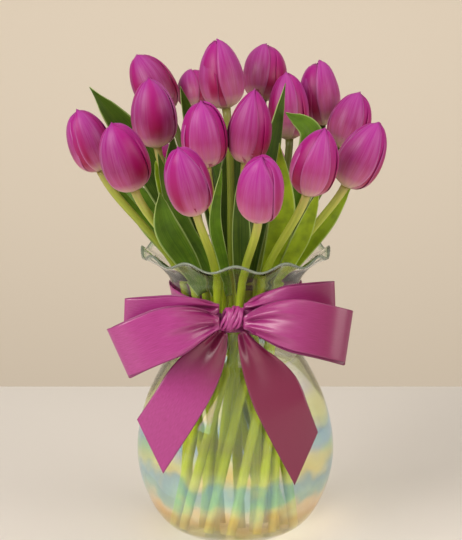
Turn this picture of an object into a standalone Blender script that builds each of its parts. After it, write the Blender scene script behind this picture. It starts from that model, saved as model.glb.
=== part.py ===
"""Eighteen cut tulips in a round glass vase, with a satin bow at its neck.

The origin is the centre of the vase's underside. +Z is up and the bow faces -Y.
Lengths in the tables are in millimetres and are turned into metres by mm().
"""

import math

import bmesh
import bpy
from mathutils import Matrix, Vector

# Driving dimensions, in millimetres
WALL = 3.0
FLOOR = 8.0
GAP = 0.3
SEGMENTS = 48
SCALLOPS = 12
SCALLOP_RISE = 2.8
SCALLOP_START = 203.0
RIM_HEIGHT = 219.0
WATER_LEVEL = 139.0
STEM_RADIUS = 3.0
# Where each stem passes, from its bud's place: turn in degrees, scale, height
STEM_FLOOR = (-80.0, 0.41, 11.0)
STEM_NECK = (-14.0, 0.34, 150.0)
STEM_LIP = (-3.0, 0.445, 205.0)
LEAF_THICKNESS = 1.2
RIBBON_WIDTH = 38.0
RIBBON_THICKNESS = 1.0
BAND_LOW = 155.0
BAND_HIGH = 193.0
KNOT_CENTRE = (-3.0, -57.2, 181.5)
KNOT_HALF = (8.5, 7.2, 11.0)

# Outside of the vase from the centre of its underside to the rim: radius, height
VASE_OUTSIDE = [
    (42.0, 0.0), (50.0, 3.0), (58.5, 10.0), (66.0, 21.5), (73.0, 39.0), (76.4, 60.0),
    (74.5, 82.0), (68.0, 105.0), (57.5, 127.0), (49.0, 142.0), (46.0, 157.0), (46.0, 176.0),
    (49.5, 196.0), (54.5, 205.0), (61.5, 212.5), (72.0, RIM_HEIGHT),
]
# Inside of the vase at the thick bottom, below the even wall
VASE_FILLET = [(44.0, FLOOR), (52.0, 11.5), (58.0, 17.0)]
EVEN_WALL_FROM = 25.0

# One row for each flower: foot of the bud, tip of the bud, greatest radius
BUDS = [
    ((-101, -5, 281), (-118, -10, 328), 16.0),
    ((-73, -50, 274), (-88, -62, 325), 17.6),
    ((-52, 50, 318), (-77, 62, 362), 16.8),
    ((-58, -8, 299), (-64, -12, 352), 17.2),
    ((-28, 66, 318), (-34, 80, 349), 15.5),
    ((-7, 8, 326), (-15, 10, 378), 17.0),
    ((21, 52, 327), (25, 66, 370), 17.2),
    ((-21, -38, 289), (-25, -48, 339), 17.0),
    ((7, -32, 291), (14, -44, 347), 16.2),
    ((41, 20, 301), (39, 28, 352), 15.6),
    ((67, 46, 308), (63, 55, 358), 16.0),
    ((80, 20, 294), (95, 24, 337), 16.2),
    ((81, -22, 272), (105, -30, 321), 17.0),
    ((51, -52, 271), (63, -66, 322), 17.0),
    ((16, -82, 259), (18, -112, 308), 16.4),
    ((-28, -78, 262), (-40, -98, 313), 16.2),
    ((-51, 71, 245), (-65, 95, 291), 16.4),
    ((24, 80, 246), (28, 104, 290), 16.4),
]
# Outline of a closed bud: share of the length, share of the greatest radius
BUD_OUTLINE = [
    (0.0, 0.18), (0.06, 0.55), (0.20, 0.88), (0.42, 1.0), (0.66, 0.88), (0.86, 0.54), (1.0, 0.12),
]

# One row for each leaf: points up its middle, width at each point, and the way it faces
LEAVES = [
    ([(-16, 12, 188), (-44, 18, 240), (-72, 20, 292), (-110, 18, 341)], (7, 17, 20, 2), (0.5, -1, 0.5)),
    ([(-31, 6, 194), (-49, 10, 214), (-71, 10, 240), (-92, 10, 270)], (7, 10, 10, 2), (0.2, -1, 0.2)),
    ([(-24, -26, 192), (-36, -34, 218), (-50, -47, 245), (-55, -50, 272)], (7, 17, 19, 3), (0.2, -1, 0.2)),
    ([(-15, -21, 190), (-23, -25, 215), (-43, -32, 252), (-57, -29, 298)], (6, 11, 14, 3), (0.3, -1, 0.1)),
    ([(-5, -24, 190), (-9, -28, 215), (-15, -42, 250), (-10, -45, 289)], (5, 8, 9, 2), (0.3, -1, 0)),
    ([(3, -24, 190), (4, -29, 215), (4, -37, 246), (2, -38, 278)], (5, 12, 13, 3), (0, -1, 0)),
    ([(18, -13, 190), (27, -16, 214), (35, -25, 254), (32, -27, 305)], (6, 14, 19, 2), (-0.2, -1, 0)),
    ([(10, -4, 190), (18, -9, 240), (25, -9, 288), (37, -2, 346)], (6, 13, 17, 2), (0.6, -1, 0)),
    ([(24, 0, 190), (37, -7, 245), (46, -12, 298), (37, -9, 325)], (6, 11, 15, 3), (0.4, -1, 0.4)),
    ([(32, -3, 193), (47, -3, 214), (69, -1, 242), (87, 0, 268)], (6, 11, 12, 2), (0, -1, 0.3)),
    ([(30, -20, 194), (39, -24, 214), (50, -29, 238), (61, -32, 270)], (5, 10, 12, 3), (0.1, -1, 0)),
    ([(18, 24, 188), (34, 42, 222), (56, 72, 262), (78, 98, 290)], (7, 20, 22, 2), (0.5, 1, 0.2)),
    ([(0, 31, 190), (-4, 46, 222), (-16, 76, 266), (-26, 104, 296)], (7, 18, 20, 2), (0, 1, 0.2)),
    ([(-24, 15, 190), (-46, 22, 221), (-78, 44, 252), (-106, 60, 268)], (7, 16, 20, 2), (-0.6, 1, 0.3)),
]

# One row for each loop of the bow: name, where it leaves the knot, its far end,
# the way the ribbon's width runs at the far end, half its thickness across the loop
LOOPS = [
    ("ribbon_loop_upper_left", (-12.6, -54.0, 186.5), (-82, -50, 178), (0.05, 0.0, 1.0), 4.0),
    ("ribbon_loop_lower_left", (-12.6, -62.5, 177.0), (-86, -83, 157), (-0.40, 0.2, 0.9), 6.0),
    ("ribbon_loop_upper_right", (6.6, -54.0, 186.5), (73, -50, 188), (-0.05, 0.0, 1.0), 4.0),
    ("ribbon_loop_lower_right", (6.6, -62.5, 177.0), (82, -82, 170), (0.14, 0.3, 0.9), 6.0),
]
# One row for each tail: name, points down its middle, cut across its end from, to
TAILS = [
    ("ribbon_tail_left", [(-8, -56.5, 169.5), (-20, -60, 150), (-41, -66, 117), (-63, -66, 85)],
     (-73, -63, 105), (-54, -68, 64)),
    ("ribbon_tail_right", [(3, -56.5, 169.5), (16, -61, 149), (34, -70, 114), (52, -70, 77)],
     (61, -65, 96), (44, -73, 57)),
]


def mm(point):
    return Vector(point) * 0.001


def remove_old_objects():
    for old in list(bpy.data.objects):
        bpy.data.objects.remove(old, do_unlink=True)


def make_material(name, colour, roughness, alpha=1.0, transmission=0.0):
    material = bpy.data.materials.new(name)
    material.use_nodes = True
    shader = material.node_tree.nodes["Principled BSDF"]
    shader.inputs["Base Color"].default_value = (*colour, 1.0)
    shader.inputs["Roughness"].default_value = roughness
    shader.inputs["Metallic"].default_value = 0.0
    shader.inputs["Alpha"].default_value = alpha
    shader.inputs["Transmission Weight"].default_value = transmission
    return material


def add_object(name, data, material):
    data.materials.append(material)
    result = bpy.data.objects.new(name, data)
    bpy.context.collection.objects.link(result)
    return result


def finish_mesh(name, bm, material, sharp_angle=40.0):
    data = bpy.data.meshes.new(name)
    bm.to_mesh(data)
    bm.free()
    data.shade_smooth()
    data.set_sharp_from_angle(angle=math.radians(sharp_angle))
    return add_object(name, data, material)


def smooth_path(points, steps):
    """Points along a Catmull-Rom curve through the given points."""
    knots = [Vector(p) for p in points]
    knots = [knots[0] * 2 - knots[1]] + knots + [knots[-1] * 2 - knots[-2]]
    path = []
    for i in range(1, len(knots) - 2):
        before, start, end, after = knots[i - 1:i + 3]
        for step in range(steps):
            t = step / steps
            path.append(0.5 * (2 * start + (end - before) * t
                               + (2 * before - 5 * start + 4 * end - after) * t ** 2
                               + (3 * start - before - 3 * end + after) * t ** 3))
    path.append(knots[-2])
    return path


def smooth_values(values, steps):
    return [p.x for p in smooth_path([(v, 0, 0) for v in values], steps)]


def turn_profile(profile, segments):
    """A closed body turned about Z from a profile of (radius, height)."""
    bm = bmesh.new()
    verts = [bm.verts.new(mm((radius, 0, height))) for radius, height in profile]
    edges = [bm.edges.new(pair) for pair in zip(verts, verts[1:])]
    bmesh.ops.spin(bm, geom=verts + edges, cent=(0, 0, 0), axis=(0, 0, 1),
                   angle=math.tau, steps=segments, use_merge=True)
    bmesh.ops.remove_doubles(bm, verts=bm.verts, dist=0.000001)
    bmesh.ops.recalc_face_normals(bm, faces=bm.faces)
    return bm


def offset_inwards(profile, distance):
    moved = []
    for i, point in enumerate(profile):
        before = profile[max(i - 1, 0)]
        after = profile[min(i + 1, len(profile) - 1)]
        run = after[0] - before[0]
        rise = after[1] - before[1]
        length = math.hypot(run, rise)
        moved.append((point[0] - distance * rise / length, point[1] + distance * run / length))
    return moved


def vase_inside():
    even = [p for p in offset_inwards(VASE_OUTSIDE, WALL) if p[1] > EVEN_WALL_FROM]
    return VASE_FILLET + even


def radius_at(profile, height):
    for low, high in zip(profile, profile[1:]):
        if low[1] <= height <= high[1]:
            share = (height - low[1]) / (high[1] - low[1])
            return low[0] + share * (high[0] - low[0])
    raise ValueError("height is outside the profile")


def make_vase():
    inside = vase_inside()
    profile = [(0, 0)] + VASE_OUTSIDE + inside[::-1] + [(0, FLOOR)]
    bm = turn_profile(profile, SEGMENTS)
    for vert in bm.verts:
        share = (vert.co.z * 1000 - SCALLOP_START) / (RIM_HEIGHT - SCALLOP_START)
        if share > 0:
            angle = math.atan2(vert.co.y, vert.co.x)
            wave = math.cos(SCALLOPS * angle) * min(share, 1.0) ** 1.5
            vert.co.z += 0.001 * SCALLOP_RISE * wave
    glass = make_material("clear_glass", (0.80, 0.88, 0.84), 0.03, 0.35, 1.0)
    return finish_mesh("vase", bm, glass)


def turned_scaled(point, degrees, scale, height):
    turned = Matrix.Rotation(math.radians(degrees), 3, "Z") @ Vector((point[0], point[1], 0.0))
    return Vector((turned.x * scale, turned.y * scale, height))


def hermite(start, leave, end, arrive, steps):
    """Points after the start along a cubic curve with the given end directions."""
    path = []
    for step in range(1, steps + 1):
        t = step / steps
        path.append((2 * t ** 3 - 3 * t ** 2 + 1) * start + (t ** 3 - 2 * t ** 2 + t) * leave
                    + (3 * t ** 2 - 2 * t ** 3) * end + (t ** 3 - t ** 2) * arrive)
    return path


def stem_path(bud_foot, bud_tip):
    """Straight from the floor to the neck, over the lip, then bending up into the bud."""
    floor = turned_scaled(bud_foot, *STEM_FLOOR)
    neck = turned_scaled(bud_foot, *STEM_NECK)
    lip = turned_scaled(bud_foot, *STEM_LIP)
    axis = (Vector(bud_tip) - Vector(bud_foot)).normalized()
    end = Vector(bud_foot) - axis * (GAP + 0.3)
    straight = (neck - floor).normalized()
    over_lip = (end - neck).normalized()
    low = (lip - neck).length
    high = (end - lip).length
    path = [floor, floor.lerp(neck, 0.5), neck]
    path += hermite(neck, straight * low, lip, over_lip * low, 2)
    below_bud = end - axis * 3
    path += hermite(lip, over_lip * high, below_bud, axis * high * 0.8, 5)
    path.append(end)
    return path


def make_tube(name, path, radius, material):
    curve = bpy.data.curves.new(name, "CURVE")
    curve.dimensions = "3D"
    curve.bevel_depth = radius * 0.001
    curve.bevel_resolution = 2
    curve.use_fill_caps = True
    spline = curve.splines.new("POLY")
    spline.points.add(len(path) - 1)
    for place, point in zip(spline.points, path):
        place.co = (*mm(point), 1.0)
    spline.use_smooth = True
    return add_object(name, curve, material)


def make_bud(name, foot, tip, radius, material):
    """A closed bud: a turned egg with three faint lobes, stood on its stem's end."""
    length = (Vector(tip) - Vector(foot)).length
    outline = [(share_radius * radius, share * length) for share, share_radius in BUD_OUTLINE]
    bm = turn_profile([(0, 0)] + outline + [(0, length)], 12)
    for vert in bm.verts:
        angle = math.atan2(vert.co.y, vert.co.x)
        lobe = 1.0 + 0.03 * math.cos(3 * angle)
        vert.co.x *= lobe
        vert.co.y *= lobe
    bud = finish_mesh(name, bm, material)
    bud.location = mm(foot)
    bud.rotation_euler = (Vector(tip) - Vector(foot)).to_track_quat("Z", "Y").to_euler()
    return bud


def make_strip(name, rows, thickness, material):
    """A thin closed sheet drawn through rows of points, each row across the strip."""
    bm = bmesh.new()
    row = [bm.verts.new(mm(point)) for point in rows[0]]
    edges = [bm.edges.new(pair) for pair in zip(row, row[1:])]
    for points in rows[1:]:
        grown = bmesh.ops.extrude_edge_only(bm, edges=edges)["geom"]
        edges = [item for item in grown if isinstance(item, bmesh.types.BMEdge)]
        fresh = [item for item in grown if isinstance(item, bmesh.types.BMVert)]
        places = {min(range(len(row)), key=lambda i: (row[i].co - vert.co).length): vert
                  for vert in fresh}
        row = [places[i] for i in range(len(points))]
        for vert, point in zip(row, points):
            vert.co = mm(point)
    bmesh.ops.recalc_face_normals(bm, faces=bm.faces)
    strip = finish_mesh(name, bm, material)
    solidify = strip.modifiers.new("thickness", "SOLIDIFY")
    solidify.thickness = thickness * 0.001
    solidify.offset = 0.0
    return strip


def make_leaf(name, middle, widths, facing, material):
    """A leaf blade, folded a little along its middle."""
    path = smooth_path(middle, 3)
    spans = smooth_values(widths, 3)
    rows = []
    for i, (point, width) in enumerate(zip(path, spans)):
        along = (path[min(i + 1, len(path) - 1)] - path[max(i - 1, 0)]).normalized()
        across = along.cross(Vector(facing)).normalized()
        out = across.cross(along).normalized()
        half = max(width, 2.0) / 2
        rows.append([point - across * half, point - out * half * 0.25, point + across * half])
    return make_strip(name, rows, LEAF_THICKNESS, material)


def make_water(stem_paths, material):
    inside = [p for p in vase_inside() if p[1] < WATER_LEVEL - 4]
    edge = radius_at(vase_inside(), WATER_LEVEL)
    profile = [(radius - GAP, height + (GAP if height < EVEN_WALL_FROM else 0))
               for radius, height in inside]
    profile = [(0, FLOOR + GAP)] + profile + [(edge - GAP, WATER_LEVEL), (0, WATER_LEVEL)]
    water = finish_mesh("water", turn_profile(profile, 32), material)
    cutter_mesh = bmesh.new()
    for path in stem_paths:
        along = (path[1] - path[0]).normalized()
        bottom = path[0] - along * 1.2
        top = path[0].lerp(path[2], 0.93)
        turn = along.to_track_quat("Z", "Y").to_matrix().to_4x4()
        place = Matrix.Translation(mm((bottom + top) / 2)) @ turn
        radius = (STEM_RADIUS + GAP) / math.cos(math.pi / 8) + 0.05
        bmesh.ops.create_cone(cutter_mesh, cap_ends=True, segments=8, radius1=radius * 0.001,
                              radius2=radius * 0.001, depth=(top - bottom).length * 0.001,
                              matrix=place)
    cutter = finish_mesh("cut.stem_holes", cutter_mesh, material)
    cutter.hide_render = True
    cutter.display_type = "WIRE"
    cut = water.modifiers.new("stem_holes", "BOOLEAN")
    cut.operation = "DIFFERENCE"
    cut.object = cutter
    cut.use_self = True
    return water


def make_band(material):
    """The ribbon round the neck, drawn in to a narrow bundle behind the knot."""
    radius = radius_at(VASE_OUTSIDE, (BAND_LOW + BAND_HIGH) / 2)
    heights = [BAND_LOW, 174.0, BAND_HIGH]
    inner = [(radius, height) for height in heights]
    outer = [(radius + RIBBON_THICKNESS, height) for height in heights]
    ring = inner[::-1] + outer
    bm = turn_profile(ring + ring[:1], SEGMENTS)
    for vert in bm.verts:
        angle = math.atan2(vert.co.y, vert.co.x)
        around = math.hypot(vert.co.x, vert.co.y)
        layer = around * 1000 - radius
        to_knot = math.exp(-((angle + math.pi / 2) / 0.38) ** 2)
        height = vert.co.z * 1000
        height += (KNOT_CENTRE[2] - 2 + (height - 174) * 0.5 - height) * to_knot
        new_radius = radius_at(VASE_OUTSIDE, height) + 0.7 + layer
        vert.co.x *= new_radius * 0.001 / around
        vert.co.y *= new_radius * 0.001 / around
        vert.co.z = height * 0.001
    return finish_mesh("ribbon_band", bm, material)


def make_knot(material):
    bm = bmesh.new()
    half = mm(KNOT_HALF)
    place = Matrix.Translation(mm(KNOT_CENTRE)) @ Matrix.Diagonal((half.x, half.y, half.z, 1))
    bmesh.ops.create_uvsphere(bm, u_segments=12, v_segments=8, radius=1.0, matrix=place)
    return finish_mesh("ribbon_knot", bm, material)


def make_loop(name, start, end, across_end, bulge, material):
    """A loop of the bow: out behind, round the far end and back in front."""
    start = Vector(start)
    end = Vector(end)
    along = (end - start).normalized()
    reach = (end - start).length
    wide = Vector(across_end).normalized()
    out = along.cross(wide).normalized()
    if out.y > 0:
        out = -out
    half_path = [(0.0, 1.4), (0.15, 0.5 * bulge), (0.35, 0.85 * bulge), (0.6, bulge),
                 (0.82, 0.95 * bulge), (0.95, 0.6 * bulge), (1.0, 0.0)]
    sides = [(share, -rise) for share, rise in half_path]
    sides += [(share, rise) for share, rise in half_path[-2::-1]]
    path = smooth_path([(share * reach, rise, 0) for share, rise in sides], 2)
    rows = []
    for point in path:
        share = min(max(point.x / reach, 0.0), 1.0)
        grow = 1 - (1 - min(share / 0.55, 1.0)) ** 2
        width = 9.0 + (RIBBON_WIDTH - 9.0) * grow
        upright = Vector((0, 0, 1))
        cross = upright.lerp(wide, min(share / 0.5, 1.0)).normalized()
        centre = start + along * point.x + out * point.y
        rows.append([centre - cross * width / 2, centre, centre + cross * width / 2])
    return make_strip(name, rows, RIBBON_THICKNESS, material)


def make_tail(name, middle, cut_from, cut_to, material):
    """A hanging tail of the bow, pinched at the knot and cut aslant at its end."""
    path = smooth_path(middle, 3)
    last_half = (Vector(cut_to) - Vector(cut_from)) / 2
    rows = []
    for i, point in enumerate(path):
        share = i / (len(path) - 1)
        along = (path[min(i + 1, len(path) - 1)] - path[max(i - 1, 0)]).normalized()
        level = along.cross(Vector((0, -1, 0))).normalized()
        if level.dot(last_half) < 0:
            level = -level
        width = 9.0 + (RIBBON_WIDTH - 9.0) * (1 - (1 - min(share / 0.5, 1.0)) ** 2)
        half = (level * width / 2).lerp(last_half, max(share - 0.7, 0.0) / 0.3)
        rows.append([point - half, point, point + half])
    return make_strip(name, rows, RIBBON_THICKNESS, material)


remove_old_objects()
stem_green = make_material("tulip_stem", (0.25, 0.27, 0.04), 0.45)
leaf_green = make_material("tulip_leaf", (0.10, 0.20, 0.03), 0.42)
petal_purple = make_material("tulip_petal", (0.48, 0.05, 0.33), 0.40)
water_clear = make_material("water", (0.80, 0.88, 0.70), 0.02, 0.35, 1.0)
satin = make_material("satin_ribbon", (0.44, 0.10, 0.32), 0.35)

make_vase()
paths = []
for number, (foot, tip, radius) in enumerate(BUDS, start=1):
    paths.append(stem_path(foot, tip))
    make_tube(f"stem_{number:02d}", paths[-1], STEM_RADIUS, stem_green)
    make_bud(f"bloom_{number:02d}", foot, tip, radius, petal_purple)
make_water(paths, water_clear)
for number, (middle, widths, facing) in enumerate(LEAVES, start=1):
    make_leaf(f"leaf_{number:02d}", middle, widths, facing, leaf_green)
make_band(satin)
make_knot(satin)
for name, start, end, across_end, bulge in LOOPS:
    make_loop(name, start, end, across_end, bulge, satin)
for name, middle, cut_from, cut_to in TAILS:
    make_tail(name, middle, cut_from, cut_to, satin)
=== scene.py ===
"""Looks of eighteen cut tulips in a round glass vase with a satin bow.

Lengths in the tables are in millimetres. -Y faces the viewer, and +Z is up.
"""

import math
import random

import bmesh
import bpy
from mathutils import Matrix, Vector


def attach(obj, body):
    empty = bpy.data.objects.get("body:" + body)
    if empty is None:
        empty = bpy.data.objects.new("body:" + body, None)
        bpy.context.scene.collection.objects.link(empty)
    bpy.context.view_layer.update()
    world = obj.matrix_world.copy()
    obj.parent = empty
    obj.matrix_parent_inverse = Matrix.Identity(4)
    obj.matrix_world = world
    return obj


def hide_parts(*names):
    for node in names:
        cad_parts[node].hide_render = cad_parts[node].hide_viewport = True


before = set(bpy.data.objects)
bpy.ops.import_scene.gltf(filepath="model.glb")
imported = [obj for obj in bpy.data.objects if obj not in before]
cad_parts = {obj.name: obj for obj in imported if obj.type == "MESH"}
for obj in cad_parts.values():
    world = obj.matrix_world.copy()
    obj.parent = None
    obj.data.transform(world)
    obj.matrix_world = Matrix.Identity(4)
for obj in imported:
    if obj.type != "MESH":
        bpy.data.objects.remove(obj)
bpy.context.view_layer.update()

# ---------------------------------------------------------------- dimensions
RIM_HEIGHT = 219.0
SCALLOPS = 12
SCALLOP_RISE = 2.8
SCALLOP_START = 203.0
RIM_HIGHLIGHT_FROM = 0.985  # where the rim's painted highlight starts, as a share of the way up the scallops
GLASS_WALL = 3.0
GLASS_FLOOR = 8.0
EVEN_WALL_FROM = 25.0
THINS_FROM = 196.0  # the wall is thinner above this height
WATER_LEVEL = 139.0
# How far the water reaches into the glass at its side and its bottom
WATER_OVERLAP = 0.4
WATER_SINK = 0.3
STEM_RADIUS = 3.0
# Where each stem passes, from its bud's place: turn in degrees, scale, height
STEM_FLOOR = (-80.0, 0.41, 11.0)
STEM_NECK = (-14.0, 0.34, 150.0)
STEM_LIP = (-3.0, 0.445, 205.0)
PETAL_THICKNESS = 0.3
LEAF_THICKNESS = 0.7
RIBBON_WIDTH = 38.0
RIBBON_THICKNESS = 0.4
GATHERED_WIDTH = 9.0  # of the ribbon where it leaves the knot
BAND_LENGTH = 305.0
BAND_LOW = 155.0
BAND_HIGH = 193.0
KNOT_CENTRE = Vector((-3.0, -57.2, 181.5))
KNOT_WRAPS = 6
WRAP_STEP = 2.35

# The stage is in metres
TABLE_WIDTH = 3.0
TABLE_FRONT = -1.2
TABLE_BACK = 0.37
WALL_SIZE = (9.0, 7.0)
WALL_PLACE = (0.0, 2.8, 1.0)
# Name of a lamp, its place, what it faces, its size, its power in watts, and its colour
LAMPS = [
    ("window_left", (-1.3, -1.2, 1.2), (0, 0, 0.22), (1.2, 1.4), 32, "#fff8f0"),
    ("fill_right", (1.4, -0.9, 0.7), (0, 0, 0.2), (1.2, 1.2), 13, "#fff6ea"),
    ("wall_wash", (0.0, 1.2, 0.3), (0, 2.8, -0.6), (4.5, 1.6), 29, "#fff8ee"),
    ("overhead", (0.3, -0.1, 1.9), (0.1, 0, 0), (2.2, 1.6), 9, "#fffaf4"),
]
CAMERA_AIM = Vector((-0.0034, 0.0, 0.2037))
CAMERA_DISTANCE = 1.2
CAMERA_TILT = math.radians(12.5)

# Outside of the vase from the edge of its underside to the rim: radius, height
VASE_OUTSIDE = [
    (42.0, 0.0), (50.0, 3.0), (58.5, 10.0), (66.0, 21.5), (73.0, 39.0), (76.4, 60.0),
    (74.5, 82.0), (68.0, 105.0), (57.5, 127.0), (49.0, 142.0), (46.0, 157.0), (46.0, 176.0),
    (49.5, 196.0), (54.5, 205.0), (61.5, 212.5), (72.0, RIM_HEIGHT),
]
# Inside of the vase at its thick bottom, below the even wall
VASE_FILLET = [(30.0, GLASS_FLOOR), (44.0, GLASS_FLOOR + 0.3), (52.0, 11.5), (58.0, 17.0)]

# Foot, tip, greatest radius, then the turn of the first outer petal in degrees to the
# viewer's right, half the angle an outer petal covers, how far the tips stand open, how
# blunt the bud is, how pale, and the deeper flames on its petals as (angle, half width)
BUDS = [
    ((-101, -5, 281), (-118, -10, 328), 16.0, 25, 50, 0.05, 0.9, 0.35, ((70, 18), (-12, 8))),
    ((-73, -50, 274), (-88, -62, 325), 17.6, 0, 61, 0.03, 0.8, 0.20, ((44, 36),)),
    ((-52, 50, 318), (-77, 62, 362), 16.8, 5, 60, 0.02, 1.0, 0.30, ((-45, 20), (70, 25))),
    ((-58, -8, 299), (-64, -12, 352), 17.2, 6, 62, 0.02, 0.6, 0.35, ((8, 22),)),
    ((-28, 66, 318), (-34, 80, 349), 15.5, -35, 48, 0.05, 0.7, 0.45, ((30, 20),)),
    ((-7, 8, 326), (-15, 10, 378), 17.0, 52, 56, 0.04, 0.5, 0.50, ((-20, 16),)),
    ((21, 52, 327), (25, 66, 370), 17.2, -34, 44, 0.04, 0.9, 0.30, ((45, 36),)),
    ((-21, -38, 289), (-25, -48, 339), 17.0, 4, 43, 0.08, 0.8, 0.85, ((62, 20),)),
    ((7, -32, 291), (14, -44, 347), 16.2, -22, 43, 0.00, 0.1, 0.25, ((48, 34),)),
    ((41, 20, 301), (39, 28, 352), 15.6, -15, 40, 0.06, 0.7, 0.70, ((-60, 22), (45, 16))),
    ((67, 46, 308), (63, 55, 358), 16.0, 36, 46, 0.16, 0.8, 0.60, ((-25, 12),)),
    ((80, 20, 294), (95, 24, 337), 16.2, -20, 50, 0.04, 0.8, 0.50, ((62, 26),)),
    ((81, -22, 272), (105, -30, 321), 17.0, -14, 56, 0.10, 0.5, 0.50, ((70, 18),)),
    ((51, -52, 271), (63, -66, 322), 17.0, 5, 37, 0.03, 0.3, 0.75, ((62, 18),)),
    ((16, -82, 259), (18, -112, 308), 16.4, -25, 62, 0.02, 1.0, 0.95, ((50, 12),)),
    ((-28, -78, 262), (-40, -98, 313), 16.2, -5, 60, 0.02, 1.0, 0.50, ((-36, 16), (75, 15))),
    ((-51, 71, 245), (-65, 95, 291), 16.4, 50, 60, 0.05, 0.7, 0.30, ((20, 20),)),
    ((24, 80, 246), (28, 104, 290), 16.4, 15, 60, 0.05, 0.7, 0.40, ((-30, 20),)),
]
# Every bud also has these flames on its far side
BACK_FLAMES = ((150, 20), (-130, 16))
INNER_RADIUS = 0.955  # of the inner petals, as a share of the outer ones'
# Outlines of a blunt and a pointed bud: share of the length, share of the greatest radius
BLUNT_BUD = [
    (0.0, 0.17), (0.03, 0.42), (0.09, 0.68), (0.18, 0.87), (0.30, 0.97), (0.43, 1.0),
    (0.57, 0.97), (0.70, 0.88), (0.81, 0.74), (0.90, 0.55), (0.96, 0.33), (1.0, 0.03),
]
POINTED_BUD = [
    (0.0, 0.17), (0.03, 0.42), (0.09, 0.68), (0.18, 0.88), (0.30, 0.98), (0.41, 1.0),
    (0.54, 0.95), (0.66, 0.84), (0.78, 0.66), (0.88, 0.44), (0.95, 0.24), (1.0, 0.03),
]
# Half the angle that a petal covers, as a share, at steps along its length
PETAL_SPAN = [
    (0.0, 0.75), (0.2, 0.92), (0.4, 1.0), (0.6, 1.0), (0.75, 0.95), (0.87, 0.84),
    (0.95, 0.72), (1.0, 0.55),
]

# Points up the middle, width at each point, the way it faces, and how bright it is, partly its own
# green and partly painted light and shade
LEAVES = [
    ([(-16, 12, 188), (-44, 18, 240), (-72, 20, 292), (-110, 18, 341)],
     (7, 15, 21, 26, 21, 2), (0.3, -1, 0.35), 0.20),
    ([(-31, 6, 194), (-49, 10, 214), (-71, 10, 240), (-92, 10, 270)],
     (7, 10, 10, 2), (0.2, -1, 0.2), 0.50),
    ([(-24, -26, 192), (-36, -34, 218), (-50, -47, 245), (-55, -50, 272)],
     (8, 17, 19, 3), (0.2, -1, 0.2), 0.35),
    ([(-15, -21, 190), (-23, -25, 215), (-43, -32, 252), (-57, -29, 298)],
     (6, 11, 14, 3), (0.3, -1, 0.1), 0.40),
    ([(-5, -24, 190), (-9, -28, 215), (-15, -42, 250), (-10, -45, 289)],
     (5, 8, 9, 2), (0.3, -1, 0), 0.45),
    ([(3, -24, 190), (4, -29, 215), (4, -37, 246), (2, -38, 278)],
     (5, 12, 13, 3), (0, -1, 0), 0.05),
    ([(18, -13, 190), (27, -16, 214), (35, -25, 254), (32, -27, 305)],
     (6, 14, 19, 2), (-0.2, -1, 0), 0.95),
    ([(10, -4, 190), (18, -9, 240), (25, -9, 288), (37, -2, 346)],
     (6, 13, 17, 2), (0.6, -1, 0), 0.15),
    ([(24, 0, 190), (39, -7, 240), (54, -12, 286), (55, -11, 311), (37, -9, 325)],
     (6, 11, 17, 21, 17, 3), (0.3, -1, 0.5), 0.45),
    ([(32, -3, 193), (47, -3, 214), (69, -1, 242), (87, 0, 268)],
     (6, 12, 13, 2), (0, -1, 0.3), 0.90),
    ([(30, -20, 194), (39, -24, 214), (50, -29, 238), (61, -32, 270)],
     (5, 11, 13, 3), (0.1, -1, 0), 0.95),
    ([(18, 24, 188), (34, 42, 222), (56, 72, 262), (78, 98, 290)],
     (7, 20, 22, 2), (0.5, 1, 0.2), 0.40),
    ([(0, 31, 190), (-4, 46, 222), (-16, 76, 266), (-26, 104, 296)],
     (7, 18, 20, 2), (0, 1, 0.2), 0.30),
    ([(-24, 15, 190), (-46, 22, 221), (-78, 44, 252), (-106, 60, 268)],
     (7, 16, 20, 2), (-0.6, 1, 0.3), 0.50),
]
# More blades deep in the bunch, each beside the numbered leaf that it grows with; most are painted
# dark green as shade
INNER_BLADES = [
    (4, [(-21, 6, 192), (-33, 4, 222), (-49, 0, 258), (-60, -2, 288)],
     (6, 13, 15, 5), (0.1, -1, 0), 0.85),
    (8, [(-9, 20, 192), (-20, 24, 250), (-32, 26, 305), (-42, 26, 341)],
     (6, 11, 13, 2), (0.4, -1, 0), 0.20),
    (5, [(-3, 16, 192), (-3, 20, 230), (-2, 24, 270), (2, 28, 318)],
     (8, 19, 22, 4), (0.0, -1, 0), 0.0),
    (6, [(14, 14, 192), (20, 18, 230), (24, 22, 268), (22, 26, 312)],
     (8, 17, 20, 4), (0.1, -1, 0), 0.05),
    (3, [(-18, 14, 192), (-34, 16, 226), (-46, 18, 262), (-48, 20, 305)],
     (7, 16, 19, 4), (0.2, -1, 0), 0.05),
    (12, [(20, 20, 192), (38, 26, 226), (52, 30, 262), (58, 30, 300)],
     (7, 14, 16, 4), (0.0, -1, 0), 0.35),
]

# Where a loop leaves the knot, its far end, how the ribbon's width runs there, how far its
# front and back bow out, its arch, and how far its back layer hangs below its front
LOOPS = [
    ("upper_left", (-12.0, -54.0, 185.5), (-82, -50, 174.5), (0.05, 0.0, 1.0), 4.0, 4.0, -2.5, 0.5),
    ("lower_left", (-12.0, -61.5, 178.0), (-86, -66, 157), (-0.40, 0.1, 0.9), 13.0, 5.0, 5.0, 2.6),
    ("upper_right", (6.0, -54.0, 185.5), (73, -50, 187.5), (-0.05, 0.0, 1.0), 4.0, 4.0, -1.5, 0.5),
    ("lower_right", (6.0, -61.5, 178.0), (82, -70, 170), (0.14, 0.2, 0.9), 13.0, 5.0, 4.0, 2.6),
]
# Name of a tail, points down its middle, and the two corners of its slanted cut
TAILS = [
    ("left", [(-9.5, -56.5, 170.5), (-24, -60, 148), (-43.5, -66, 116), (-63, -66, 85)],
     (-73, -63, 104), (-54, -68, 63)),
    ("right", [(5.5, -56.5, 170.5), (20, -61, 147), (35.5, -70, 113), (52, -70, 77)],
     (61, -65, 96), (44, -73, 57)),
]


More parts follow.
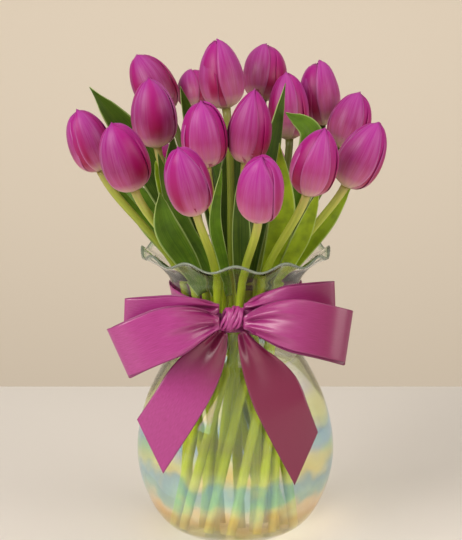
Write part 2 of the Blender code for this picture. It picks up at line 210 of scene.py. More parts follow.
# ---------------------------------------------------------------- materials
def colour(text):
    """An sRGB hex colour as the linear values that a shader takes."""
    parts = [int(text[i:i + 2], 16) / 255 for i in (1, 3, 5)]
    linear = [p / 12.92 if p <= 0.04045 else ((p + 0.055) / 1.055) ** 2.4 for p in parts]
    return (*linear, 1.0)


def add_node(tree, kind, settings=(), links=(), stops=()):
    """A node with its properties and input values set, and its inputs linked."""
    node = tree.nodes.new(kind)
    for name, value in dict(settings).items():
        if isinstance(name, str) and hasattr(node, name):
            setattr(node, name, value)
        else:
            node.inputs[name].default_value = value
    for name, socket in dict(links).items():
        tree.links.new(socket, node.inputs[name])
    if stops:
        ramp = node.color_ramp
        while len(ramp.elements) < len(stops):
            ramp.elements.new(0.5)
        for element, (place, text) in zip(ramp.elements, stops):
            element.position = place
            element.color = colour(text)
    return node


def new_material(name, settings):
    """A named material with its node tree and its Principled shader."""
    material = bpy.data.materials.new(name)
    material.use_nodes = True
    tree = material.node_tree
    shader = tree.nodes["Principled BSDF"]
    for socket, value in settings.items():
        shader.inputs[socket].default_value = value
    return material, tree, shader


def remap(tree, source, start, end, low, high):
    """A value that runs from low to high as its source runs from start to end."""
    settings = {"From Min": start, "From Max": end, "To Min": low, "To Max": high}
    return add_node(tree, "ShaderNodeMapRange", settings, {0: source}).outputs[0]


def colour_ramp(tree, source, stops):
    """The colour at a value, between stops of (value, hex colour)."""
    return add_node(tree, "ShaderNodeValToRGB", links={0: source}, stops=stops).outputs[0]


def blend(tree, amount, first, second):
    """The first colour turning into the second, which is a socket or a hex colour."""
    settings, links = {"data_type": "RGBA"}, {0: amount, 6: first}
    if isinstance(second, str):
        settings[7] = colour(second)
    else:
        links[7] = second
    return add_node(tree, "ShaderNodeMix", settings, links).outputs[2]


def attribute(tree, name):
    """A value that the mesh carries at its vertices."""
    return add_node(tree, "ShaderNodeAttribute", {"attribute_name": name}).outputs["Fac"]


def place_on_sheet(tree):
    """The place on a sheet, how far it is along, and how far in from the nearer edge."""
    place = add_node(tree, "ShaderNodeUVMap", {"uv_map": "UVMap"}).outputs["UV"]
    split = add_node(tree, "ShaderNodeSeparateXYZ", links={0: place})
    inward = add_node(tree, "ShaderNodeMath", {"operation": "PINGPONG", 1: 0.5},
                      {0: split.outputs["X"]}).outputs[0]
    return place, split.outputs["Y"], inward


def noise(tree, place, scale, detail=2.0, roughness=0.5):
    """Cloudy values from about 0.3 to 0.7, in patches of 1 / scale."""
    settings = {"Scale": scale, "Detail": detail, "Roughness": roughness}
    return add_node(tree, "ShaderNodeTexNoise", settings, {"Vector": place}).outputs[0]


def streaks_on_sheet(tree, place, across, along, detail, roughness=0.5):
    """Noise with a number of patches across a sheet and along it."""
    lie = add_node(tree, "ShaderNodeMapping", {"Scale": (across, along, 1.0)}, {0: place})
    return noise(tree, lie.outputs[0], 1.0, detail, roughness)


def place_in_space(tree):
    """The object's own coordinates, in metres."""
    return add_node(tree, "ShaderNodeTexCoord").outputs["Object"]


def bumped(tree, height, strength, depth, below=None):
    """A surface normal bent by a height of up to depth metres, over any bumps below it."""
    links = {"Height": height, "Normal": below} if below else {"Height": height}
    return add_node(tree, "ShaderNodeBump", {"Strength": strength, "Distance": depth},
                    links).outputs[0]


def paint(tree, shader, base, normal):
    """Give the shader its finished colour and its bumps."""
    tree.links.new(base, shader.inputs["Base Color"])
    tree.links.new(normal, shader.inputs["Normal"])


def petal_material():
    """Fresh tulip petal: silky skin, streaked along its length, cream at the foot."""
    material, tree, shader = new_material("fresh_tulip_petal", {
        "Roughness": 0.40, "IOR": 1.40, "Sheen Weight": 0.08, "Sheen Roughness": 0.35,
        "Sheen Tint": colour("#f0b4e4"), "Subsurface Weight": 0.08,
        "Subsurface Radius": (0.6, 0.1, 0.4), "Subsurface Scale": 0.003,
    })
    place, along, inward = place_on_sheet(tree)
    dusky = colour_ramp(tree, along, [
        (0.0, "#cdc07c"), (0.08, "#dcaaa0"), (0.20, "#ac4474"), (0.42, "#860e56"),
        (0.75, "#940874"), (1.0, "#a0048c")])
    light = colour_ramp(tree, along, [
        (0.0, "#d8cd86"), (0.09, "#e8c0b0"), (0.22, "#cc7496"), (0.46, "#ae307a"),
        (0.8, "#ae2092"), (1.0, "#ae0c94")])
    body = blend(tree, attribute(tree, "tone_and_shading"), dusky, light)
    # Broad streaks, about 8 across the petal, and fine veins, about 36 across
    streaks = streaks_on_sheet(tree, place, 8.0, 1.0, detail=2.0)
    veins = streaks_on_sheet(tree, place, 36.0, 2.0, detail=3.0, roughness=0.6)
    body = blend(tree, remap(tree, streaks, 0.42, 0.72, 0.0, 0.42), body, "#b24c9c")
    body = blend(tree, remap(tree, veins, 0.40, 0.70, 0.0, 0.11), body, "#e0b0d6")
    # The rim of a petal is thinner; towards it a paler, silvery colour is painted on as sheen
    body = blend(tree, remap(tree, inward, 0.0, 0.07, 0.5, 0.0), body, "#cc80bc")
    # Flames of deeper colour fade out above the cream foot, broken up by the streaks
    deep = colour_ramp(tree, along, [
        (0.0, "#c3a57c"), (0.08, "#bc5880"), (0.22, "#920038"), (0.5, "#9a005c"),
        (1.0, "#a80484")])
    broken = add_node(tree, "ShaderNodeMath", {"operation": "MULTIPLY_ADD", 1: 0.5, 2: -0.25},
                      {0: streaks})
    flames = add_node(tree, "ShaderNodeMath", {"operation": "SUBTRACT", "use_clamp": True},
                      {0: attribute(tree, "petal_depth"), 1: broken.outputs[0]})
    body = blend(tree, flames.outputs[0], body, deep)
    coarse = bumped(tree, streaks, 0.5, 0.0005)
    paint(tree, shader, body, bumped(tree, veins, 0.25, 0.0003, coarse))
    return material


def leaf_material():
    """Cut tulip leaf: waxy skin over parallel veins, paler along its rim."""
    material, tree, shader = new_material("waxy_tulip_leaf", {
        "Roughness": 0.48, "IOR": 1.34, "Subsurface Weight": 0.08,
        "Subsurface Radius": (0.3, 0.6, 0.1), "Subsurface Scale": 0.003,
    })
    place, _, inward = place_on_sheet(tree)
    # Dark to bright green by tone: partly each leaf's own green, partly painted light and shade
    body = colour_ramp(tree, attribute(tree, "tone_and_shading"), [
        (0.0, "#183006"), (0.25, "#345608"), (0.5, "#55800c"), (0.75, "#76980e"),
        (1.0, "#98ac14")])
    # Parallel veins, 26 across the leaf, which is less than 1 mm apart
    veins = streaks_on_sheet(tree, place, 26.0, 1.2, detail=3.0, roughness=0.55)
    body = blend(tree, remap(tree, veins, 0.35, 0.75, 0.0, 0.40), body, "#8aa828")
    # Clouds of darker green, about 8 mm across
    cloud = noise(tree, place_in_space(tree), 120.0)
    body = blend(tree, remap(tree, cloud, 0.4, 0.7, 0.0, 0.35), body, "#223c0c")
    body = blend(tree, remap(tree, inward, 0.0, 0.07, 0.8, 0.0), body, "#b4c97c")
    paint(tree, shader, body, bumped(tree, veins, 0.4, 0.0004))
    return material


def stem_material():
    """Tulip stem: smooth, juicy skin, yellower towards the flower; painted light makes it paler in
    the water.
    """
    material, tree, shader = new_material("smooth_tulip_stem", {
        "Roughness": 0.38, "IOR": 1.42, "Subsurface Weight": 0.15,
        "Subsurface Radius": (0.5, 0.6, 0.1), "Subsurface Scale": 0.003,
    })
    place, along, _ = place_on_sheet(tree)
    # Painted light: paler and yellower low down, where the stem stands in the water
    body = colour_ramp(tree, along, [
        (0.0, "#dcd88a"), (0.05, "#c0cc38"), (0.32, "#a8bc24"), (0.55, "#96a828"),
        (0.85, "#bcc250"), (1.0, "#c4b470")])
    grain = streaks_on_sheet(tree, place, 14.0, 5.0, detail=3.0)
    body = blend(tree, remap(tree, grain, 0.4, 0.75, 0.0, 0.5), body, "#82a022")
    # Painted shade: stems deep in the bunch are painted a darker green
    body = blend(tree, attribute(tree, "tone_and_shading"), body, "#2c4210")
    paint(tree, shader, body, bumped(tree, grain, 0.25, 0.0003))
    return material


def glass_material():
    """Blown glass with a lustre film: clear above; low in the bulb its colour carries pastel bands
    of painted reflection.
    """
    material, tree, shader = new_material("blown_lustre_glass", {
        "Roughness": 0.02, "IOR": 1.45, "Transmission Weight": 1.0, "Thin Film IOR": 1.38,
    })
    place = place_in_space(tree)
    height = add_node(tree, "ShaderNodeSeparateXYZ", links={0: place}).outputs["Z"]
    drift = noise(tree, place, 40.0)
    # Painted reflection: pastel bands stand for the lustre film's coloured reflections, and wander
    # up and down by about 10 mm
    wander = add_node(tree, "ShaderNodeMath", {"operation": "MULTIPLY_ADD", 1: 0.05},
                      {0: drift, 2: height}).outputs[0]
    painted_reflection_bands = colour_ramp(tree, remap(tree, wander, 0.025, 0.145, 0.0, 1.0), [
        (0.0, "#fafcf4"), (0.10, "#fcf6cc"), (0.18, "#fadcae"), (0.27, "#fbf3e6"),
        (0.34, "#c4ecf2"), (0.42, "#b4d8f2"), (0.50, "#f4f4c8"), (0.58, "#f6fad4"),
        (0.68, "#eee8fe"), (0.82, "#fcfdf6"), (1.0, "#fefffc")])
    # Painted highlight: the lip is painted as a pale line that catches the light
    lip = attribute(tree, "lip")
    tree.links.new(blend(tree, lip, painted_reflection_bands, "#cfe0c8"), shader.inputs["Base Color"])
    # The lustre also veils the glass, most of all below 65 mm
    veil = colour_ramp(tree, height, [
        (0.0, "#fafafa"), (0.012, "#ededed"), (0.055, "#e8e8e8"), (0.069, "#fdfdfd"),
        (0.120, "#fefefe"), (0.150, "#ffffff")])
    # The painted highlight at the lip also makes it less clear
    clear = add_node(tree, "ShaderNodeMath", {"operation": "MULTIPLY_ADD", 1: -0.32},
                     {0: lip, 2: veil})
    tree.links.new(clear.outputs[0], shader.inputs["Transmission Weight"])
    # Film of 260 to 560 nm in the bulb, none above the neck
    film = remap(tree, drift, 0.3, 0.7, 260.0, 560.0)
    bulb = remap(tree, height, 0.150, 0.185, 1.0, 0.0)
    thickness = add_node(tree, "ShaderNodeMath", {"operation": "MULTIPLY"}, {0: film, 1: bulb})
    tree.links.new(thickness.outputs[0], shader.inputs["Thin Film Thickness"])
    return material


def water_material():
    """Tap water that has stood with cut stems in it."""
    return new_material("clear_vase_water", {
        "Base Color": colour("#fbfdf2"), "Roughness": 0.0, "IOR": 1.33,
        "Transmission Weight": 1.0,
    })[0]


def satin_material():
    """Polyester satin ribbon: long floats of thread give it a soft, broad gloss."""
    material, tree, shader = new_material("woven_satin_ribbon", {
        "Roughness": 0.32, "IOR": 1.7, "Sheen Weight": 0.16, "Sheen Roughness": 0.3,
        "Sheen Tint": colour("#f2a4dc"),
    })
    place, _, inward = place_on_sheet(tree)
    # Fine slubs along the ribbon break up its gloss
    threads = streaks_on_sheet(tree, place, 90.0, 26.0, detail=2.0)
    body = colour_ramp(tree, threads, [(0.35, "#a02c7a"), (0.65, "#b03a8c")])
    # Painted shade: where the ribbon turns from the light it is painted deeper and redder
    body = blend(tree, attribute(tree, "tone_and_shading"), body, "#6e0c2e")
    body = blend(tree, remap(tree, inward, 0.0, 0.02, 0.6, 0.0), body, "#6e2050")
    paint(tree, shader, body, bumped(tree, threads, 0.10, 0.0002))
    return material


# ---------------------------------------------------------------- shapes
def metres(point):
    """A point of the tables, which are in millimetres, in Blender's metres."""
    return Vector(point) * 0.001


def smooth_path(points, steps):
    """Points along a Catmull-Rom curve through the given points."""
    knots = [Vector(p) for p in points]
    knots = [knots[0] * 2 - knots[1]] + knots + [knots[-1] * 2 - knots[-2]]
    path = []
    for i in range(1, len(knots) - 2):
        before, start, end, after = knots[i - 1:i + 3]
        for step in range(steps):
            t = step / steps
            path.append(0.5 * (2 * start + (end - before) * t
                               + (2 * before - 5 * start + 4 * end - after) * t ** 2
                               + (3 * start - before - 3 * end + after) * t ** 3))
    path.append(knots[-2])
    return path


def at(path, share):
    """The point, number or vector at a share of the way along evenly stepped samples."""
    place = min(max(share, 0.0), 1.0) * (len(path) - 1)
    low = min(int(place), len(path) - 2)
    return path[low] + (path[low + 1] - path[low]) * (place - low)


def curve_of(pairs, samples=64):
    """Even samples of a smooth curve through (share, value) pairs."""
    fine = [(p.x, p.y) for p in smooth_path([(a, b, 0) for a, b in pairs], 12)]
    values = []
    for i in range(samples + 1):
        share = i / samples
        low = max(k for k in range(len(fine) - 1) if fine[k][0] <= share or k == 0)
        start, end = fine[low], fine[low + 1]
        part = (share - start[0]) / max(end[0] - start[0], 1e-9)
        values.append(start[1] + (end[1] - start[1]) * min(max(part, 0.0), 1.0))
    return values


def ease(share):
    """0 to 1 with a soft start and a soft end."""
    share = min(max(share, 0.0), 1.0)
    return share * share * (3 - 2 * share)


def new_body():
    """An empty mesh with the layers that the materials read."""
    bm = bmesh.new()
    bm.loops.layers.uv.new("UVMap")
    # Each piece's own tone, and on stems, leaves and ribbon also painted light and shade
    bm.verts.layers.float.new("tone_and_shading")
    bm.verts.layers.float.new("petal_depth")
    return bm


def point_outwards(bm, faces, centre):
    """Turn a sheet's faces over where most of them look towards the given point."""
    facing = sum((face.calc_center_median() - centre).dot(face.normal) for face in faces)
    if facing < 0:
        bmesh.ops.reverse_faces(bm, faces=faces)


def add_sheet(bm, columns, rows, place, tone_and_shading=0.0, depth=None):
    """A grid whose points go to place(u, t): u is -1 to 1 across, t is 0 to 1 along."""
    made = bmesh.ops.create_grid(bm, x_segments=columns, y_segments=rows, size=1.0)["verts"]
    uv_layer = bm.loops.layers.uv["UVMap"]
    tone_and_shading_layer = bm.verts.layers.float["tone_and_shading"]
    depth_layer = bm.verts.layers.float["petal_depth"]
    faces = {face for vert in made for face in vert.link_faces}
    for face in faces:
        face.smooth = True
        for loop in face.loops:
            loop[uv_layer].uv = ((loop.vert.co.x + 1) / 2, (loop.vert.co.y + 1) / 2)
    for vert in made:
        across, along = vert.co.x, (vert.co.y + 1) / 2
        vert[tone_and_shading_layer] = tone_and_shading(across, along) if callable(tone_and_shading) else tone_and_shading
        vert[depth_layer] = depth(across, along) if depth else 0.0
        vert.co = metres(place(across, along))
    for face in faces:
        face.normal_update()
    return list(faces)


def finish_piece(name, bm, material, stands_for=(), thickness=0.0, offset=0.0):
    """The finished object, riding on the part in place of the CAD nodes it stands for."""
    data = bpy.data.meshes.new(name)
    bm.to_mesh(data)
    bm.free()
    data.materials.append(material)
    piece = bpy.data.objects.new(name, data)
    bpy.context.collection.objects.link(piece)
    if thickness:
        solidify = piece.modifiers.new("thickness", "SOLIDIFY")
        solidify.thickness = thickness * 0.001
        solidify.offset = offset
    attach(piece, "root")
    if stands_for:
        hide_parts(*stands_for)
    return piece


def turn_profile(profile, steps):
    """A body of revolution round Z from its (radius, height) profile."""
    bm = bmesh.new()
    verts = [bm.verts.new(metres((radius, 0, height))) for radius, height in profile]
    edges = [bm.edges.new(pair) for pair in zip(verts, verts[1:])]
    bmesh.ops.spin(bm, geom=verts + edges, cent=(0, 0, 0), axis=(0, 0, 1),
                   angle=math.tau, steps=steps, use_merge=True)
    bmesh.ops.remove_doubles(bm, verts=bm.verts, dist=0.000002)
    bmesh.ops.recalc_face_normals(bm, faces=bm.faces)
    for face in bm.faces:
        face.smooth = True
    return bm


def smooth_outside():
    """The vase's outline as a fine run of (radius, height) points."""
    return [(p.x, p.y) for p in smooth_path([(r, z, 0) for r, z in VASE_OUTSIDE], 5)]


def smooth_inside(distance):
    """The inner wall, set in from the outer one and closing on it at the lip."""
    outside = smooth_outside()
    even = []
    for i, (radius, height) in enumerate(outside):
        before = outside[max(i - 1, 0)]
        after = outside[min(i + 1, len(outside) - 1)]
        run, rise = after[0] - before[0], after[1] - before[1]
        length = math.hypot(run, rise)
        near = distance * (1 - 0.55 * ease((height - THINS_FROM) / 20))
        point = (radius - near * rise / length, height + near * run / length)
        if point[1] > EVEN_WALL_FROM:
            even.append(point)
    fillet = [(p.x, p.y) for p in smooth_path(
        [(r, z, 0) for r, z in VASE_FILLET] + [(even[0][0], even[0][1], 0)], 4)]
    return fillet[:-1] + even


def radius_at(profile, height):
    """The radius of a profile at a height."""
    for low, high in zip(profile, profile[1:]):
        if low[1] <= height <= high[1]:
            share = (height - low[1]) / max(high[1] - low[1], 1e-9)
            return low[0] + share * (high[0] - low[0])
    return profile[-1][0]


def make_vase(material):
    """One piece of glass with a thick bottom, whose rim waves up and down in scallops."""
    inside = smooth_inside(GLASS_WALL)
    profile = [(0, 0), (20, 0)] + smooth_outside() + inside[::-1]
    profile += [(15, GLASS_FLOOR), (0, GLASS_FLOOR)]
    bm = turn_profile(profile, steps=192)
    # Marks where the rim's painted highlight lies
    rim_highlight_layer = bm.verts.layers.float.new("lip")
    for vert in bm.verts:
        share = (vert.co.z * 1000 - SCALLOP_START) / (RIM_HEIGHT - SCALLOP_START)
        vert[rim_highlight_layer] = 1.0 if share > RIM_HIGHLIGHT_FROM else 0.0
        if share > 0:
            angle = math.atan2(vert.co.y, vert.co.x)
            wave = math.cos(SCALLOPS * angle) * min(share, 1.0) ** 1.5
            vert.co.z += 0.001 * SCALLOP_RISE * wave
    piece = finish_piece("glass_vase", bm, material, ["vase"])
    piece.visible_shadow = False


def make_water(material):
    """The water reaches a little into the glass, so no film of air shows between them."""
    wall = smooth_inside(GLASS_WALL)
    inside = [(r + WATER_OVERLAP, z - WATER_SINK) for r, z in wall if z < WATER_LEVEL - 4]
    edge = radius_at(wall, WATER_LEVEL) + WATER_OVERLAP
    profile = [(0, GLASS_FLOOR - WATER_SINK)] + inside
    # The surface climbs the glass a little at its edge
    profile += [(edge, WATER_LEVEL + 1.0), (edge - 1.2, WATER_LEVEL + 0.3),
                (edge - 3.5, WATER_LEVEL), (0, WATER_LEVEL)]
    bm = turn_profile(profile, steps=128)
    piece = finish_piece("vase_water", bm, material, ["water"])
    piece.visible_shadow = False


def turned_scaled(point, degrees, scale, height):
    """A point moved round Z and in towards it, at a new height."""
    turned = Matrix.Rotation(math.radians(degrees), 3, "Z") @ Vector((point[0], point[1], 0.0))
    return Vector((turned.x * scale, turned.y * scale, height))


def hermite(start, leave, end, arrive, steps):
    """A smooth run between two points, leaving and arriving along given vectors."""
    path = []
    for step in range(1, steps + 1):
        t = step / steps
        path.append((2 * t ** 3 - 3 * t ** 2 + 1) * start + (t ** 3 - 2 * t ** 2 + t) * leave
                    + (3 * t ** 2 - 2 * t ** 3) * end + (t ** 3 - t ** 2) * arrive)
    return path


def stem_path(bud_foot, bud_tip):
    """Straight from the bottom of the vase to its neck, then over the lip to the bud."""
    floor = turned_scaled(bud_foot, *STEM_FLOOR)
    neck = turned_scaled(bud_foot, *STEM_NECK)
    lip = turned_scaled(bud_foot, *STEM_LIP)
    axis = (Vector(bud_tip) - Vector(bud_foot)).normalized()
    end = Vector(bud_foot) + axis * 0.6
    straight = (neck - floor).normalized()
    over_lip = (end - neck).normalized()
    low = (lip - neck).length
    high = (end - lip).length
    path = [floor.lerp(neck, i / 8) for i in range(9)]
    path += hermite(neck, straight * low, lip, over_lip * low, 6)
    path += hermite(lip, over_lip * high, end, axis * high * 0.8, 14)
    return path


def make_stem(number, bud_foot, bud_tip, material):
    """A round stem that wavers a little in thickness and swells just under the flower."""
    path = stem_path(bud_foot, bud_tip)
    frames = []
    side = Vector((1, 0, 0))
    for i, point in enumerate(path):
        along = (path[min(i + 1, len(path) - 1)] - path[max(i - 1, 0)]).normalized()
        side = (side - along * side.dot(along)).normalized()
        frames.append((point, side.copy(), along.cross(side)))
    last = len(frames) - 1

    def place(u, t):
        point, side, up = frames[round(t * last)]
        radius = STEM_RADIUS * (1.0 + 0.05 * math.sin(7 * t + number) + 0.10 * (t > 0.97))
        angle = math.pi * u
        return point + (side * math.cos(angle) + up * math.sin(angle)) * radius

    def painted_shade(u, t):
        """Painted shade: darker towards the back of the bunch, above the neck."""
        point = frames[round(t * last)][0]
        return 0.8 * ease((point.y + 15) / 40) * ease((point.z - 180) / 40)

    bm = new_body()
    add_sheet(bm, 16, last, place, painted_shade)
    bmesh.ops.remove_doubles(bm, verts=bm.verts, dist=0.00001)
    rims = [edge for edge in bm.edges if edge.is_boundary]
    bmesh.ops.holes_fill(bm, edges=rims, sides=0)
    bmesh.ops.recalc_face_normals(bm, faces=bm.faces)
    finish_piece(f"cut_stem_{number:02d}", bm, material, [f"stem_{number:02d}"])


BLUNT = curve_of(BLUNT_BUD)
POINTED = curve_of(POINTED_BUD)
SPAN = curve_of(PETAL_SPAN)


def make_flower(number, row, material):
    """Three outer petals wrapped round three inner ones that show between their edges."""
    foot, tip, radius, turn, reach, opening, blunt, pale, flames = row
    foot, tip = Vector(foot), Vector(tip)
    axis = (tip - foot).normalized()
    length = (tip - foot).length
    to_viewer = Vector((0, -1, 0))
    to_viewer = (to_viewer - axis * to_viewer.dot(axis)).normalized()
    to_right = axis.cross(to_viewer)
    rng = random.Random(number)
    flames = (*flames, *BACK_FLAMES)
    bm = new_body()
    for index in range(6):
        inner = index >= 3
        middle = turn + 120 * index + (60 + rng.uniform(-5, 5) if inner else 0)
        half = (60 if inner else reach if index == 0 else 58) + rng.uniform(-2, 2)
        out = INNER_RADIUS if inner else 1.0
        tall = rng.uniform(0.95, 0.985) if inner else (1.0, 0.97, 0.955)[index]
        wave = rng.uniform(0, 6)
        gape = opening * rng.uniform(0.6, 1.3)
        tone_and_shading = min(max(pale + rng.uniform(-0.15, 0.15), 0), 1)

        def place(u, t):
            angle = math.radians(middle + u * half * at(SPAN, t) + 3 * t * t * math.sin(wave))
            ring = (at(BLUNT, t) * blunt + at(POINTED, t) * (1 - blunt)) * radius
            ring *= out + (1 - out) * 0.6 * t ** 3
            ring *= 1.0 - 0.017 * u + 0.012 * math.exp(-(u / 0.12) ** 2)
            ring *= 1.0 + 0.006 * math.sin(11 * u + wave) * ease(t * 2)
            ring += radius * gape * max(t - 0.55, 0) ** 2 * 5
            ring += radius * 0.02 * math.sin(9 * t + wave) * abs(u) ** 3
            rise = length * t * tall * (1 - 0.02 * u * u * t)
            outward = to_viewer * math.cos(angle) + to_right * math.sin(angle)
            return foot + axis * rise + outward * ring

        def depth(u, t):
            """How strongly the nearest flame shows. Inner petals are all deep."""
            if inner:
                return 0.85
            angle = middle + u * half
            most = 0.0
            for centre, width in flames:
                away = (angle - centre + 180) % 360 - 180
                most = max(most, math.exp(-(away / width) ** 4))
            return most * ease((t - 0.04) / 0.30)

        faces = add_sheet(bm, 16, 22, place, tone_and_shading, depth)
        point_outwards(bm, faces, metres(foot + axis * length * 0.45))
    finish_piece(f"tulip_flower_{number:02d}", bm, material,
                 [f"bloom_{number:02d}"], PETAL_THICKNESS, offset=-1.0)


def make_leaf(name, stands_for, row, material):
    """A long blade, folded along its middle, with a faint wave along its edges."""
    middle, widths, facing, painted_light_and_tone = row
    path = smooth_path(middle, 10)
    spans = [p.x for p in smooth_path([(w, 0, 0) for w in widths], 10)]
    wave = random.Random(name).uniform(0, 6)
    facing = Vector(facing)

    def place(u, t):
        point = at(path, t)
        along = (at(path, t + 0.03) - at(path, t - 0.03)).normalized()
        across = along.cross(facing).normalized()
        out = across.cross(along).normalized()
        half = max(at(spans, t), 1.0) / 2
        half *= math.sqrt(max(1.0 - max(t - 0.9, 0) / 0.1, 0.0)) * 0.95 + 0.05
        fold = 0.28 * (1 - abs(u)) - 0.08
        ripple = 0.5 * math.sin(11 * t + wave) * u * abs(u)
        return point + across * half * u - out * half * fold + out * ripple

    bm = new_body()
    add_sheet(bm, 8, 40, place, painted_light_and_tone)
    bmesh.ops.recalc_face_normals(bm, faces=bm.faces)
    finish_piece(name, bm, material, [stands_for], LEAF_THICKNESS)


def path_length(path):
    """The length of a run of points, in their own units."""
    return sum((b - a).length for a, b in zip(path, path[1:]))


def ribbon_width(share):
    """The ribbon's width where it spreads out from the knot, at a share of its reach."""
    spread = 1 - (1 - min(share / 0.6, 1.0)) ** 2
    return GATHERED_WIDTH + (RIBBON_WIDTH - GATHERED_WIDTH) * spread


def finish_ribbon(name, bm, material, stands_for, length):
    """A finished piece of ribbon; its length, the size it has laid out flat, is not used."""
    piece = finish_piece(name, bm, material, [stands_for], RIBBON_THICKNESS)


def make_band(material):
    """The ribbon round the neck, drawn down and together towards the knot."""
    outside = smooth_outside()

    def place(u, t):
        angle = -math.pi / 2 + math.tau * t
        # Near the knot, gap radians away, the band is drawn down and gathered
        gap = min(t, 1 - t) * math.tau
        to_knot = max(1 - gap / 1.45, 0.0)
        gather = math.exp(-(gap / 0.55) ** 2)
        height = (BAND_LOW + BAND_HIGH) / 2 + 1.5 + u * RIBBON_WIDTH / 2 * (1 - 0.55 * gather)
        height -= 4.5 * ease(to_knot) * (0.5 + 0.5 * u)
        pleat = 1.2 * math.sin(8 * u + 1.0) * gather
        radius = radius_at(outside, height) + 1.6 + pleat * 0.5
        return Vector((radius * math.cos(angle), radius * math.sin(angle), height))

    bm = new_body()
    faces = add_sheet(bm, 18, 120, place)
    point_outwards(bm, faces, metres((0, 0, 174)))
    finish_ribbon("bow_neckband", bm, material, "ribbon_band", BAND_LENGTH)


def make_loop(row, material):
    """A loop of ribbon, gathered in pleats at the knot and smooth at its far end."""
    name, start, end, across_end, front, back, arch, drop = row
    start, end = Vector(start), Vector(end)
    along = (end - start).normalized()
    reach = (end - start).length
    wide = Vector(across_end).normalized()
    out = along.cross(wide).normalized()
    if out.y > 0:
        out = -out
    profile = [(0.0, 1.2 / back), (0.12, 0.45), (0.3, 0.85), (0.55, 1.0),
               (0.8, 0.95), (0.95, 0.55), (1.0, 0.0)]
    sides = [(share * reach, -back * rise, 0) for share, rise in profile]
    sides += [(share * reach, front * rise, 0) for share, rise in profile[-2::-1]]
    path = smooth_path(sides, 8)
    phase = random.Random(name).uniform(0, 6)

    def place(u, t):
        point = at(path, t)
        share = min(max(point.x / reach, 0.0), 1.0)
        cross = Vector((0, 0, 1)).lerp(wide, min(share / 0.5, 1.0)).normalized()
        front_part = ease((t - 0.45) / 0.1)
        near = (1 - ease(share / 0.62)) * ease(share / 0.10)
        pleat = near * (3.3 * math.sin(6.2 * u + phase) + 1.2 * math.sin(13.0 * u + 2 * phase))
        roll = 4.0 * u * u * near + 2.0 * u ** 4 * ease(share / 0.4) * (1 - share)
        push = pleat * (0.35 + 0.65 * front_part) - roll * (2 * front_part - 1)
        hang = -drop * ease(share * 2) * (1 - front_part) * (1 if u < 0 else 0.3)
        raised = arch * math.sin(math.pi * min(share, 1.0) ** 0.8)
        centre = start + along * point.x + out * (point.y + push) + Vector((0, 0, raised))
        return centre + cross * (u * ribbon_width(share) / 2 + hang)

    def painted_shade(u, t):
        """Painted shade, deeper towards the right end of the right loops and the knot end of the
        left ones.
        """
        share = min(max(at(path, t).x / reach, 0.0), 1.0)
        if name.endswith("right"):
            return 0.15 + 0.55 * ease((share - 0.3) / 0.6)
        return 0.45 * (1 - ease((share - 0.15) / 0.35)) * ease((u + 1.2) / 1.2)

    bm = new_body()
    add_sheet(bm, 32, 96, place, painted_shade)
    finish_ribbon(f"bow_loop_{name}", bm, material, f"ribbon_loop_{name}",
                  path_length(path))


def make_tail(row, material):
    """An end of the ribbon, gathered at the knot, that hangs down and is cut at a slant."""
    name, middle, cut_from, cut_to = row
    path = smooth_path(middle, 10)
    last_half = (Vector(cut_to) - Vector(cut_from)) / 2
    phase = random.Random(name).uniform(0, 6)
    curl = 4.5 if name == "right" else 1.5

    def place(u, t):
        point = at(path, t)
        along = (at(path, t + 0.03) - at(path, t - 0.03)).normalized()
        level = along.cross(Vector((0, -1, 0))).normalized()
        if level.dot(last_half) < 0:
            level = -level
        out = level.cross(along).normalized()
        if out.y > 0:
            out = -out
        half = (level * ribbon_width(t) / 2).lerp(last_half, max(t - 0.6, 0.0) / 0.4)
        near = (1 - ease(t / 0.55)) * ease(t / 0.05)
        pleat = near * 2.2 * math.sin(5.6 * u + phase)
        roll = max(-0.1 - u, 0.0) ** 2 * curl * near
        return point + half * (u + 0.25 * roll) + out * (pleat + roll + 1.2 * math.sin(3 * t + u))

    def painted_shade(u, t):
        """Painted shade: the right tail is deep all along, and the left one only below the knot."""
        if name == "right":
            return 0.70 + 0.2 * ease(t / 0.3)
        return 0.85 * (1 - ease((t - 0.25) / 0.4))

    bm = new_body()
    add_sheet(bm, 24, 72, place, painted_shade)
    finish_ribbon(f"bow_tail_{name}", bm, material, f"ribbon_tail_{name}",
                  path_length(path))


def make_knot(material):
    """The pinched centre of the bow: tight slanted wraps of gathered ribbon."""
    bm = new_body()
    for index in range(KNOT_WRAPS):
        from_middle = index - (KNOT_WRAPS - 1) / 2
        fat = 1.7 - 0.12 * abs(from_middle)
        tall = 8.4 - 0.7 * abs(from_middle)

        def place(u, t):
            turn = math.tau * t
            slant = 2.6 * math.sin(turn) + 0.8 * math.sin(2 * turn + 1.7 * index)
            middle = Vector((from_middle * WRAP_STEP + slant, -6.2 * math.cos(turn),
                             tall * math.sin(turn)))
            outward = Vector((0, -math.cos(turn), math.sin(turn))).normalized()
            angle = math.pi * u
            lumpy = 1 + 0.15 * math.sin(5 * turn + 2.3 * index)
            ring = Vector((1, 0, 0)) * math.cos(angle) * fat + outward * math.sin(angle) * 1.5
            return KNOT_CENTRE + Vector((0, 0, -1.5)) + middle + ring * lumpy

        faces = add_sheet(bm, 12, 48, place)
        point_outwards(bm, faces, metres(KNOT_CENTRE))
    bmesh.ops.remove_doubles(bm, verts=bm.verts, dist=0.00001)
    bmesh.ops.recalc_face_normals(bm, faces=bm.faces)
    finish_piece("bow_knot", bm, material, ["ribbon_knot"])


# ---------------------------------------------------------------- stage, light, camera
def plain_material(name, text, roughness):
    """Matt paint in one colour."""
    return new_material(name, {"Roughness": roughness, "Base Color": colour(text)})[0]


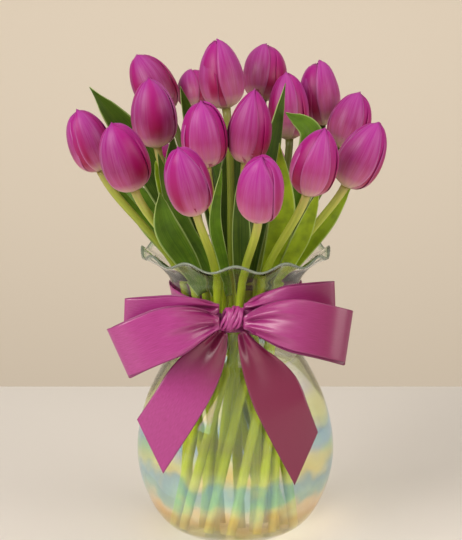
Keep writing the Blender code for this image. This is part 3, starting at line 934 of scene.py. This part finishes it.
def make_stage():
    """A pale table and a plain wall well behind it."""
    table_size = (TABLE_WIDTH, TABLE_BACK - TABLE_FRONT)
    table_place = (0, (TABLE_BACK + TABLE_FRONT) / 2, 0)
    for name, size, place, turn, text in [
        ("pale_table", table_size, table_place, 0.0, "#e8e3dc"),
        ("beige_wall", WALL_SIZE, WALL_PLACE, math.pi / 2, "#d8ccbb"),
    ]:
        bm = bmesh.new()
        turning = Matrix.Rotation(turn, 4, "X")
        bmesh.ops.create_grid(bm, x_segments=1, y_segments=1, size=0.5,
                              matrix=Matrix.Translation(place) @ turning
                              @ Matrix.Diagonal((*size, 1, 1)))
        data = bpy.data.meshes.new(name)
        bm.to_mesh(data)
        bm.free()
        data.materials.append(plain_material(name, text, 0.6))
        piece = bpy.data.objects.new(name, data)
        bpy.context.collection.objects.link(piece)


def add_light(name, place, aim, size, power, text):
    """A soft lamp that lights the scene but isn't seen, directly or through the glass."""
    data = bpy.data.lights.new(name, "AREA")
    data.shape = "RECTANGLE"
    data.size, data.size_y = size
    data.energy = power
    data.color = colour(text)[:3]
    lamp = bpy.data.objects.new(name, data)
    lamp.location = place
    lamp.visible_transmission = False
    lamp.visible_camera = False
    lamp.rotation_euler = (Vector(aim) - Vector(place)).to_track_quat("-Z", "Y").to_euler()
    bpy.context.collection.objects.link(lamp)


def make_light():
    """Soft lamps, and a room that lights the object evenly from all round."""
    for row in LAMPS:
        add_light(*row)
    world = bpy.data.worlds.new("soft_room")
    world.use_nodes = True
    tree = world.node_tree
    background = tree.nodes["Background"]
    background.inputs["Color"].default_value = colour("#f4efe8")
    # Seen through the glass the room is brighter, as if white cards stood beside the vase
    path = add_node(tree, "ShaderNodeLightPath")
    glow = remap(tree, path.outputs["Is Transmission Ray"], 0.0, 1.0, 0.37, 0.85)
    tree.links.new(glow, background.inputs["Strength"])
    bpy.context.scene.world = world


def make_camera():
    """A long lens, a little above the vase and looking down at it."""
    data = bpy.data.cameras.new("front_view")
    data.lens = 105
    data.sensor_width = 36
    camera = bpy.data.objects.new("front_view", data)
    back = Vector((0, -math.cos(CAMERA_TILT), math.sin(CAMERA_TILT)))
    camera.location = CAMERA_AIM + CAMERA_DISTANCE * back
    camera.rotation_euler = (-back).to_track_quat("-Z", "Y").to_euler()
    bpy.context.collection.objects.link(camera)
    bpy.context.scene.camera = camera
    bpy.context.scene.view_settings.view_transform = "Standard"


make_stage()
make_light()
make_camera()
petal_skin = petal_material()
stem_skin = stem_material()
leaf_skin = leaf_material()
satin = satin_material()
make_vase(glass_material())
make_water(water_material())
for number, row in enumerate(BUDS, start=1):
    make_stem(number, row[0], row[1], stem_skin)
    make_flower(number, row, petal_skin)
for number, row in enumerate(LEAVES, start=1):
    make_leaf(f"tulip_blade_{number:02d}", f"leaf_{number:02d}", row, leaf_skin)
for number, *row in INNER_BLADES:
    make_leaf(f"inner_blade_by_{number:02d}", f"leaf_{number:02d}", row, leaf_skin)
make_band(satin)
for row in LOOPS:
    make_loop(row, satin)
for row in TAILS:
    make_tail(row, satin)
make_knot(satin)
